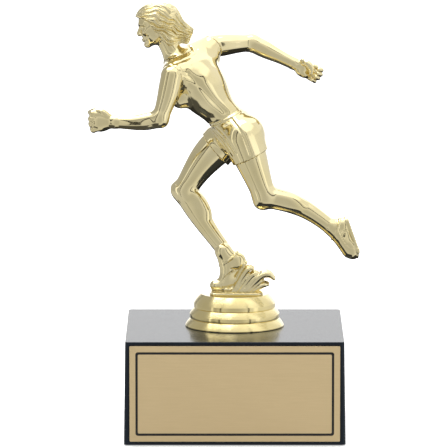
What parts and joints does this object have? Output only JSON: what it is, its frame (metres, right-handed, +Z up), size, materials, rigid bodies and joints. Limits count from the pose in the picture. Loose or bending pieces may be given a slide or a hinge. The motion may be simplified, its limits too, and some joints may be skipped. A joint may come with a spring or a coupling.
{
  "type": "running figure trophy",
  "caption": "Gold plated female runner on a stepped round riser, bolted to a glossy black block base with a blank bordered name plate.",
  "frame": {"origin": "centre of the block base's underside, on the felt pad", "axes": "+Z up; the name plate faces -Y; the runner faces -X"},
  "size_m": [0.1, 0.0783, 0.1583],
  "materials": {
    "gold_plating": "vacuum-metallised plastic, bright pale gold mirror",
    "black_gloss": "moulded plastic, high gloss blue-black",
    "plate": "satin tan-gold sheet with a printed thin black border line",
    "zinc_steel": "zinc plated",
    "weight": "cast cement, rough",
    "felt": "black pressed felt",
    "fibreboard": "hardboard, dull",
    "tape": "white foam mounting tape"
  },
  "bodies": {
    "root": {"riser": "gold_plating", "foot_plinth": "gold_plating", "leaf_tuft": "gold_plating", "runner_right_leg": "gold_plating", "runner_left_leg": "gold_plating", "runner_torso": "gold_plating", "runner_left_arm": "gold_plating", "runner_right_arm": "gold_plating", "runner_head": "gold_plating", "base_shell": "black_gloss", "base_weight": "weight", "bottom_cover": "fibreboard", "base_pad": "felt", "plate_tape": "tape", "name_plate": "plate", "threaded_rod": "zinc_steel", "base_washer": "zinc_steel", "base_nut": "zinc_steel", "riser_nut": "zinc_steel"}
  },
  "joints": []
}
